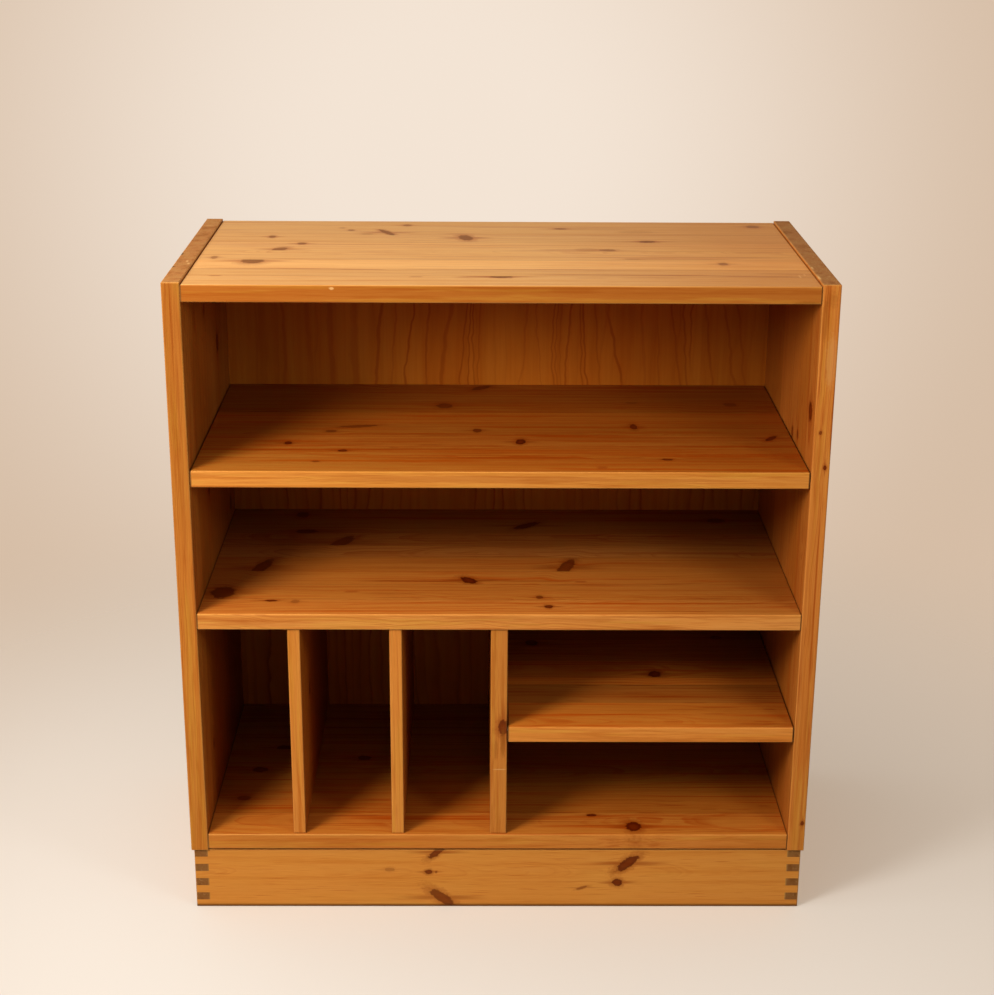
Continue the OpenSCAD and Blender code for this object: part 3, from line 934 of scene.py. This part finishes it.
middleShelf = {
    "axes": "xyz",
    "seed": 23,
    "blond": 0.6,
    "tone": 0.48,
    "rich": 0.5,
    "cast": (1.0, 1.06, 1.25),
    "frontTone": -0.26,
    "frontCalm": 0.40,
    # Painted shade: darker towards the right end
    "paintedInnerShade": (140, 440, -0.26),
    "castsAndPaintedShade": [
        # Painted shade: a less red rear, and a darker left end behind the front edge
        ({"across": (80, 160)}, (1, 1.3, 1.25)),
        ({"along": (-220, -360), "across": (-170, -100)}, (0.82, 0.8, 0.9)),
    ],
    "butted": True,
    "staves": [(-167, 0), (-110, 0.06), (-58, 0.05), (0, -0.2), (50, -0.3), (105, -0.35)],
    "knots": [
        (-312, 188, 13, 0.8, 0.6), (-300, 112, 8, 2.2, 0.8, {"cut": (100, 200)}),
        (46, 140, 10, 1.9, 0.85, {"slant": -0.6}),
        (-242, 62, 20, 0.95, 0.7, {"slant": -1.1, "cut": (50, 100)}),
        (-354, -45, 24, 0.62, 0.75, {"slant": -1.6, "cut": (-58, 0)}),
        (101, -40, 24, 0.62, 0.75, {"slant": -1.7, "cut": (-57, 0)}),
        (-44, -94, 11.5, 1, 1, {"slant": 0.5}), (-398, -142, 22, 0.8, 0.8), (-325, -173, 3, 2.8, 1),
        (-291, -176, 6, 1, 0.35), (58, -158, 6, 0.8, 0.7), (70, -193, 6, 1, 0.9), (350, 165, 10, 1.5, 0.6),
    ],
    "lines": [
        (-125, -97, 95, 2.6, 0.9), (0, -92, 30, 2.2, 0.8), (60, -96, 70, 2.2, 0.6), (120, -98, 12, 3, 0.7),
        (195, -88, 57, 2.2, 0.45), (130, -111, 86, 1.2, 0.85), (270, -105, 71, 1.2, 0.7, 0.1),
        (-137.5, -161, 60, 1.2, 0.7), (-213, -138, 14, 3, 0.6), (-150, -145, 57, 4, 0.3),
        (0, -209, 550, 1.3, 0.5), (250, -209, 75, 1.3, 0.85), (-300, -166.5, 120, 1, 0.6),
        (300, -161, 40, 3, 0.4), (80, -158.5, 50, 1.2, 0.6), (-50, -44, 300, 3, 0.3),
        (220, -30, 140, 2.2, 0.3),
    ],
}

smallShelf = {
    "axes": "xyz",
    "seed": 31,
    "blond": 0.5,
    "tone": 0.55,
    "rich": 0.6,
    "figure": 1.3,
    "frontTone": -0.23,
    # Painted shade: darker towards the right end
    "paintedInnerShade": (260, 440, -0.32),
    # Painted shade: a less red rear
    "castsAndPaintedShade": [({"across": (-70, 50)}, (1, 1.15, 1.3))],
    "butted": True,
    "staves": [(-140, -0.48), (-78, 0.26), (-52, -0.08), (10, -0.38), (90, -0.38)],
    "knots": [(240, -40, 11.5, 0.85, 1), (55, 78, 10, 1, 0.8), (350, 100, 6, 1.5, 0.6)],
    "lines": [
        (137.5, -81, 25, 1.2, 0.7), (210, -81, 43, 1.3, 0.9), (295, -81, 80, 1.2, 0.5),
        (380, -55, 43, 1.2, 0.6), (75, -142, 36, 1.2, 0.65), (112.5, -135, 18, 1.2, 0.65),
        (322.5, -157, 40, 1.2, 0.65), (275, -163, 36, 1.2, 0.65), (397.5, -162, 12, 1.4, 0.7),
        (312.5, -178, 25, 1.2, 0.55), (87.5, -203, 25, 1.2, 0.6), (382.5, -203, 18, 1.2, 0.6),
        (250, -204, 15, 1.2, 0.6), (380, -210.5, 57, 1.4, 0.9), (150, -208, 143, 1.2, 0.4),
        (205, -107, 30, 3, 0.4), (290, -140, 25, 2.5, 0.45), (370, -145, 25, 2.5, 0.45),
    ],
}

bottomPanel = {
    "axes": "xyz",
    "seed": 47,
    "tone": 0.34,
    "rich": 0.75,
    "figure": 1.2,
    "frontTone": -0.21,
    "castsAndPaintedShade": [
        # Painted shade: a less red rear, and a darker rear in the left bay
        ({"across": (-120, -30)}, (1, 1.2, 1.3)),
        ({"along": (-300, -340), "across": (-160, -100)}, (0.82, 0.85, 1)),
    ],
    "butted": True,
    "staves": [(-158, -0.12), (-86, -0.06), (-30, -0.08), (50, -0.12), (130, -0.12)],
    "knots": [
        (200, -199, 14, 0.8, 1), (140, -164, 3.5, 2.2, 1), (-385, -112, 7, 1.5, 0.6),
        (-340, 55, 8, 1.5, 0.8), (-370, -20, 8, 1.5, 0.8), (-210, 20, 7, 1.5, 0.8),
    ],
    "lines": [
        (185, -117, 80, 1.2, 0.65), (260, -121, 29, 1.2, 0.65), (185, -128, 80, 1.1, 0.55),
        (260, -133, 29, 1.3, 0.9), (105, -133, 36, 1.2, 0.6), (195, -136, 64, 1.1, 0.55),
        (95, -157, 36, 1.4, 0.9), (225, -157, 21, 1.2, 0.7), (360, -157, 86, 1, 0.55),
        (85, -173, 36, 1.2, 0.6), (97.5, -185, 60, 1.2, 0.6), (135, -195, 50, 1.2, 0.6),
        (317.5, -146, 18, 1.2, 0.6), (362.5, -148, 25, 1.2, 0.6), (402.5, -136, 12, 1.4, 0.7),
        (252.5, -209, 25, 1.2, 0.65), (360, -212, 86, 1.2, 0.6), (-210, -166, 60, 1.4, 0.9),
        (-360, -162, 50, 1.3, 0.7), (-180, -118, 30, 1.4, 0.7), (-240, -190, 50, 1, 0.4),
        (-350, -193, 50, 1, 0.4),
    ],
}

leftSide = {
    "axes": "zyx",
    "seed": 53,
    "tone": -0.08,
    "cast": (0.99, 0.98, 0.88),
    "frontTone": 0.07,
    "frontCalm": 0.25,
    # Painted shade: the front edge darker towards the top
    "paintedFrontShade": (300, 920, -0.24),
    "rich": 0.40,
    "endTone": 1.55,
    "marks": [
        ("crack", (-450, -126, 945.5), (5.5, 4.2, 5), 0.9),
        ("crack", (-451, -41, 945.5), (5, 12, 4.5), 0.9), ("scar", (-430, -105, 945), (2, 5, 2), 0.6),
        ("scar", (-434, -90, 945), (2, 8, 2), 0.5), ("scar", (-440, 164, 945), (8, 1.8, 2), 0.5),
    ],
    "staves": [(-150, -0.03), (-80, 0.04), (-10, -0.02), (70, 0.03), (145, -0.03)],
    "knots": [
        (780, 100, 10, 1.5, 1), (600, -50, 7, 1.5, 1), (360, 30, 11, 1.5, 1), (220, -120, 6, 1.5, 0.8),
        (500, 170, 8, 1.5, 1), (860, -20, 6, 1.5, 0.7),
    ],
}

rightSide = {
    "axes": "zyx",
    "seed": 61,
    "tone": 0.08,
    "cast": (1.0, 0.98, 1.0),
    "frontCalm": 0.20,
    "rich": 0.50,
    "endTone": 1.18,
    "marks": [
        ("scar", (427, -180, 945), (1.6, 14, 2), 0.6), ("scar", (427.5, -120, 945), (1.6, 9, 2), 0.5),
        ("stain", (438, -220, 925), (12, 4, 16), 0.35), ("stain", (430, -222.5, 895), (6, 3, 30), 0.35),
        ("scar", (442, -222.5, 840), (8, 3, 40), 0.18),
    ],
    "staves": [(-165, 0.04), (-90, -0.03), (-20, 0.02), (60, -0.04), (140, 0.02)],
    "knots": [
        (760, -187, 12, 1.1, 0.9), (700, -98, 7, 1, 0.6), (690, -55, 7, 1.2, 0.7), (410, 60, 10, 1.5, 1),
        (250, -40, 8, 1.5, 1), (870, 120, 7, 1.5, 1), (690, 443, 2.4, 1.5, 0.9, {"edge": True}),
        (740, 434, 2, 1.5, 0.7, {"edge": True}), (142, 445, 2.4, 1.5, 0.8, {"edge": True}),
    ],
}

middleUpright = {
    "axes": "zyx",
    "seed": 71,
    "marks": [
        ("scar", (2, -219.5, 228), (13, 2, 0.8), 0.6), ("stain", (6, -219.5, 270), (4, 3, 26), 0.5),
        ("stain", (-4, -219.5, 260), (3, 3, 18), 0.35),
    ],
    "blond": 0.15,
    "rich": 0.7,
    "staves": [(-130, 0.03), (-50, -0.03), (40, 0.02), (120, -0.02)],
    "knots": [(295, 7, 8, 1.5, 0.8, {"edge": True}), (350, -20, 8, 1.5, 1)],
}

leftDivider = {
    "axes": "zyx",
    "seed": 83,
    "blond": 0.4,
    "tone": 0.08,
    "rich": 0.7,
    "staves": [(-120, 0.03), (-30, -0.02), (50, 0.02), (130, -0.03)],
    "knots": [(300, -100, 7, 1.5, 1)],
}

rightDivider = {
    "axes": "zyx",
    "seed": 89,
    "blond": 0.55,
    "tone": 0.1,
    "rich": 0.7,
    "staves": [(-140, -0.02), (-60, 0.03), (30, -0.03), (110, 0.02)],
    "knots": [(210, -50, 8, 1.5, 1)],
}

frontPlinth = {
    "axes": "xzy",
    "seed": 97,
    "blond": 0.45,
    "tone": 0.34,
    "cast": (1.0, 1.10, 1.15),
    "figure": 0.27,
    # dirt and painted contact shade at the foot
    "baseDirtAndShade": 0.75,
    "endTone": 0.78,
    "knots": [
        (-90, 91.5, 6, 2, 0.8, {"slant": -0.7}), (-102, 58.5, 3.5, 1.5, 0.8), (-91, 58.5, 1.8, 1, 0.6),
        (-83, 15.5, 9, 2, 0.72, {"slant": 0.6}), (191, 73, 8.5, 1.9, 0.86, {"slant": -0.6}),
        (177, 41, 6, 1.25, 0.88), (125, 32, 2, 4, 0.5, {"slant": -0.3}), (-160, 62.5, 3, 2.5, 0.3),
    ],
}

# the plinths are darker at the foot: dirt and painted contact shade
lesserPlinth = {"tone": 0.30, "figure": 0.6, "baseDirtAndShade": 0.75, "endTone": 0.78}

backPlinth = {
    **lesserPlinth,
    "axes": "xzy",
    "seed": 101,
    "knots": [(210, 50, 8, 1.5, 1)],
}

leftPlinth = {
    **lesserPlinth,
    "axes": "yzx",
    "seed": 103,
    "knots": [(-60, 60, 7, 1.5, 1)],
}

rightPlinth = {
    **lesserPlinth,
    "axes": "yzx",
    "seed": 107,
    "knots": [(90, 40, 8, 1.5, 1)],
}

boards = {
    "top_panel": topPanel,
    "shelf_upper": upperShelf,
    "shelf_middle": middleShelf,
    "shelf_small": smallShelf,
    "bottom_panel": bottomPanel,
    "side_left": leftSide,
    "side_right": rightSide,
    "partition": middleUpright,
    "divider_left": leftDivider,
    "divider_right": rightDivider,
    "plinth_front": frontPlinth,
    "plinth_back": backPlinth,
    "plinth_left": leftPlinth,
    "plinth_right": rightPlinth,
}
for node, piece in boards.items():
    paintBoard(node, piece, pineFinish)

# Plywood back, rotary cut

plywoodFinish = {  # the lines are given as on the boards, the other measures in metres
    "light": (0.63, 0.168, 0.0115),
    "dark": (0.39, 0.058, 0.002),
    "lineEvery": 0.018,
    "waves": [((7.0, 1.1, 1.0), 6.0), ((24, 8, 2.0), 1.3), ((70, 34, 2.0), 0.22)],
    "levels": ((0.0, 0.45), (1.0, 0.80), (0.10, 0.06), (0.50, 0.10), (0.78, 0.35), (0.92, 1.0)),
    "weight": (0.7, 0.3),
    "patches": (11, 2.5, 2.0),
    "patchLimits": (0.30, 0.62),
    "calmHigh": 0.75,
    "calmPlace": (0.50, 0.64),
    "lineDepth": 0.70,
    "lineWave": 0.030,
    "streakShade": 0.6,
    "fineShade": 0.2,
    "cloudShade": 0.7,
    # painted shade: darker towards both ends, below a height
    "endTone": -0.15,
    "endShadePlace": (0.24, 0.38),
    "endShadeHeights": (0.86, 0.76),
    "deepening": (0.5, 1.1, 2.0),
    "roughness": 0.5,
    "specular": 0.05,
    "bump": (0.25, 0.0003),
    "lines": [
        (750, -372, 300, 6, 0.35), (750, -337, 300, 2.5, 0.45), (750, -298, 300, 3, 0.3),
        (720, -264, 200, 4, 0.5), (720, -226, 200, 6, 0.45), (750, -187, 300, 2.4, 0.85, 0.083),
        (750, -164, 300, 1.4, 0.45, 0.05), (750, -141, 300, 1.5, 0.95, 0.1),
        (750, -111.5, 300, 1.8, 0.7, 0.025), (750, -80, 300, 3.2, 0.65, 0.1),
        (750, -53, 300, 1.1, 0.85, 0.083), (750, -44.5, 300, 1, 0.95, 0.04), (750, -38.5, 300, 1.1, 0.85),
        (750, -30, 300, 1.1, 0.55, 0.05), (750, 41, 140, 1.8, 0.4, 0.1), (750, 65, 300, 1.2, 0.45, -0.066),
        (770, 89, 250, 1.1, 0.75), (750, 94.5, 300, 1, 0.65), (750, 100.5, 300, 1, 0.45),
        (760, 111.5, 300, 1.5, 0.95, 0.05), (750, 131, 300, 1.1, 0.75, -0.06),
        (750, 136.5, 300, 1.3, 0.95, -0.075), (750, 156, 250, 1.4, 0.55, -0.1),
        (735, 184, 90, 2, 0.9, -0.26), (750, 229, 250, 2.4, 0.35, -0.06), (700, 256, 120, 1.4, 0.45),
        (750, 283, 200, 1.5, 0.55, -0.12), (750, 297, 300, 1.5, 0.7, -0.05), (800, 306, 120, 1.6, 0.75),
        (750, 334, 300, 1.6, 0.55, -0.12), (750, 363, 250, 1.8, 0.55, -0.2),
        (750, 381, 250, 1.8, 0.45, -0.15),
    ],
}


def makePlywood(finish):
    settings = {"Roughness": finish["roughness"], "Specular IOR Level": finish["specular"]}
    material, tree, surface = newMaterial("rotaryCutPlywood", settings)
    spot = addNode(tree, "ShaderNodeTexCoord").outputs["Object"]
    x, y, z = splitPlace(tree, spot)

    def wander(acrossScale, alongScale, detail):
        acrossPlace = product(tree, x, acrossScale)
        alongPlace = product(tree, z, alongScale)
        return noise(tree, vector(tree, acrossPlace, 3.0, alongPlace), 1, detail, 0.5)

    field = calc(tree, "DIVIDE", x, finish["lineEvery"])
    for wave, amount in finish["waves"]:
        field = linear(tree, wander(*wave), amount, field)
    wood = profile(tree, calc(tree, "FRACT", field), finish["levels"])
    each = dice(tree, calc(tree, "FLOOR", field))["Value"]
    late = product(tree, wood, linear(tree, each, *finish["weight"]))
    late = product(tree, late, ramp(tree, wander(*finish["patches"]), *finish["patchLimits"]))
    # High up, where the back is seen best, each line has a place of its own
    calm = linear(tree, ramp(tree, z, *finish["calmPlace"]), -finish["calmHigh"], 1.0)
    own = addGrainLines(tree, {"along": z, "across": x}, finish["lines"], finish["lineWave"])
    own = product(tree, own, finish["lineDepth"])
    late = calc(tree, "MAXIMUM", product(tree, late, calm), own)
    grain = {"Along": z, "Across": x, "Through": y, "Stave": 0.0, "Seed": 5.0}
    fibre = useGroup(tree, fibreGroup, grain)
    colour = blend(tree, late, finish["light"], finish["dark"])
    shade = scaled(tree, fibre["Streaks"], finish["streakShade"])
    shade = product(tree, shade, scaled(tree, fibre["Fine"], finish["fineShade"]))
    shade = product(tree, shade, scaled(tree, fibre["Clouds"], finish["cloudShade"]))
    colour = deepen(tree, colour, shade, finish["deepening"])
    # Painted shade: the back darkens towards both ends, below a height
    ends = ramp(tree, calc(tree, "ABSOLUTE", x), *finish["endShadePlace"])
    ends = product(tree, ends, ramp(tree, z, *finish["endShadeHeights"]))
    ends = linear(tree, ends, finish["endTone"], 1.0)
    colour = multiplied(tree, colour, ends)
    tree.links.new(colour, surface.inputs["Base Color"])
    addBump(tree, surface, fibre["Fine"], *finish["bump"])
    return material


paint("back_panel", makePlywood(plywoodFinish))
print("plywood ready")

# Raw pine corner blocks

rawPineFinish = {
    **pineFinish,
    "early": (0.66, 0.40, 0.18),
    "late": (0.42, 0.20, 0.07),
    "deep": (0.55, 0.31, 0.12),
    "yellow": (0.68, 0.43, 0.19),
    "endGrain": (0.40, 0.23, 0.10),
    "roughness": 0.65,
}
cornerBlocks = {"axes": "zxy", "seed": 113}
paintBoard("corner_blocks", cornerBlocks, rawPineFinish)

# Beech dowels

beechFinish = {
    "colour": (0.50, 0.29, 0.14),
    "fleck": (0.30, 0.14, 0.05),
    "fleckDepth": 0.6,
    "fleckLimits": (0.54, 0.70),
    "scaleAlong": 140,
    "scaleAcross": 900,
    "clouds": (30, 3, 0.6),
    "shade": 0.3,
    "roughness": 0.60,
    "bump": (0.3, 0.0002),
}


def makeBeech(name, axis, finish):
    material, tree, surface = newMaterial(name + "Beech", {"Roughness": finish["roughness"]})
    spot = addNode(tree, "ShaderNodeTexCoord").outputs["Object"]
    stretch = [finish["scaleAlong" if axis == letter else "scaleAcross"] for letter in "xyz"]
    place = addNode(tree, "ShaderNodeMapping", {"Vector": spot, "Scale": stretch}).outputs[0]
    flecks = ramp(tree, noise(tree, place, 1, 2, 0.6), *finish["fleckLimits"])
    colour = blend(tree, product(tree, flecks, finish["fleckDepth"]), finish["colour"], finish["fleck"])
    shade = scaled(tree, noise(tree, spot, *finish["clouds"]), finish["shade"])
    tree.links.new(multiplied(tree, colour, shade), surface.inputs["Base Color"])
    addBump(tree, surface, flecks, *finish["bump"])
    return material


dowels = {
    "dowels_top": "x",
    "dowels_middle": "x",
    "dowels_bottom": "x",
    "dowels_partition": "z",
    "dowels_dividers": "z",
}
for node, axis in dowels.items():
    paint(node, makeBeech(node, axis, beechFinish))
print("beech dowels ready")

# Steel pegs, screws and nails

shelfPegs = {
    "colour": (0.60, 0.59, 0.56),
    "tarnish": (0.27, 0.22, 0.17),
    "amount": 0.35,
    "roughness": 0.30,
}
steelFinish = {
    "pegs_upper": shelfPegs,
    "pegs_small": shelfPegs,
    "block_screws": {
        "colour": (0.50, 0.47, 0.40),
        "tarnish": (0.22, 0.12, 0.06),
        "amount": 0.55,
        "roughness": 0.42,
    },
    "back_nails": {
        "colour": (0.42, 0.41, 0.40),
        "tarnish": (0.20, 0.10, 0.05),
        "amount": 0.70,
        "roughness": 0.45,
    },
}


steelWear = {
    "blotches": (160, 4, 0.65),
    "blotchLimits": (0.45, 0.68),
    "dullRoughness": 0.35,
    "scratches": (1800, 2, 0.7),
    "bump": (0.15, 0.0001),
}


def makeSteel(name, finish, wear):
    material, tree, surface = newMaterial(name + "Steel", {"Metallic": 1.0})
    spot = addNode(tree, "ShaderNodeTexCoord").outputs["Object"]
    blotches = ramp(tree, noise(tree, spot, *wear["blotches"]), *wear["blotchLimits"])
    dull = product(tree, blotches, finish["amount"])
    colour = blend(tree, dull, finish["colour"], finish["tarnish"])
    tree.links.new(colour, surface.inputs["Base Color"])
    rough = linear(tree, dull, wear["dullRoughness"], finish["roughness"])
    tree.links.new(rough, surface.inputs["Roughness"])
    addBump(tree, surface, noise(tree, spot, *wear["scratches"]), *wear["bump"])
    return material


for node, finish in steelFinish.items():
    paint(node, makeSteel(node, finish, steelWear))
print("steel fittings ready")

# Floor

floorSetup = {
    "radius": 4.0,
    "fadeFrom": 0.55,
    "fadeTo": 1.7,
    "colour": (0.50, 0.50, 0.49),
    "glow": (0.34, 0.235, 0.15),  # stands for light that passes through the paper
    "roughness": 0.9,
    "specular": 0.1,
}


def makeFloor(setup):
    shape = bmesh.new()
    bmesh.ops.create_circle(shape, cap_ends=True, segments=96, radius=setup["radius"])
    mesh = bpy.data.meshes.new("studioFloor")
    shape.to_mesh(mesh)
    shape.free()
    floor = bpy.data.objects.new("studioFloor", mesh)
    scene.collection.objects.link(floor)
    material, tree, surface = newMaterial("palePaperFloor", {
        "Base Color": setup["colour"],
        "Emission Color": setup["glow"],
        "Roughness": setup["roughness"],
        "Specular IOR Level": setup["specular"],
    })
    tree.links.new(seenDirectly(tree), surface.inputs["Emission Strength"])
    spot = addNode(tree, "ShaderNodeTexCoord").outputs["Object"]
    away = length(tree, spot)
    clear = addNode(tree, "ShaderNodeBsdfTransparent")
    mix = addNode(tree, "ShaderNodeMixShader")
    # Seen from below the floor is clear, so that the underside stays in sight
    fromBelow = addNode(tree, "ShaderNodeNewGeometry").outputs["Backfacing"]
    faded = calc(tree, "MAXIMUM", ramp(tree, away, setup["fadeFrom"], setup["fadeTo"]), fromBelow)
    setInput(tree, mix.inputs[0], faded)
    tree.links.new(surface.outputs[0], mix.inputs[1])
    tree.links.new(clear.outputs[0], mix.inputs[2])
    tree.links.new(mix.outputs[0], tree.nodes["Material Output"].inputs["Surface"])
    mesh.materials.append(material)


makeFloor(floorSetup)
print("floor ready")
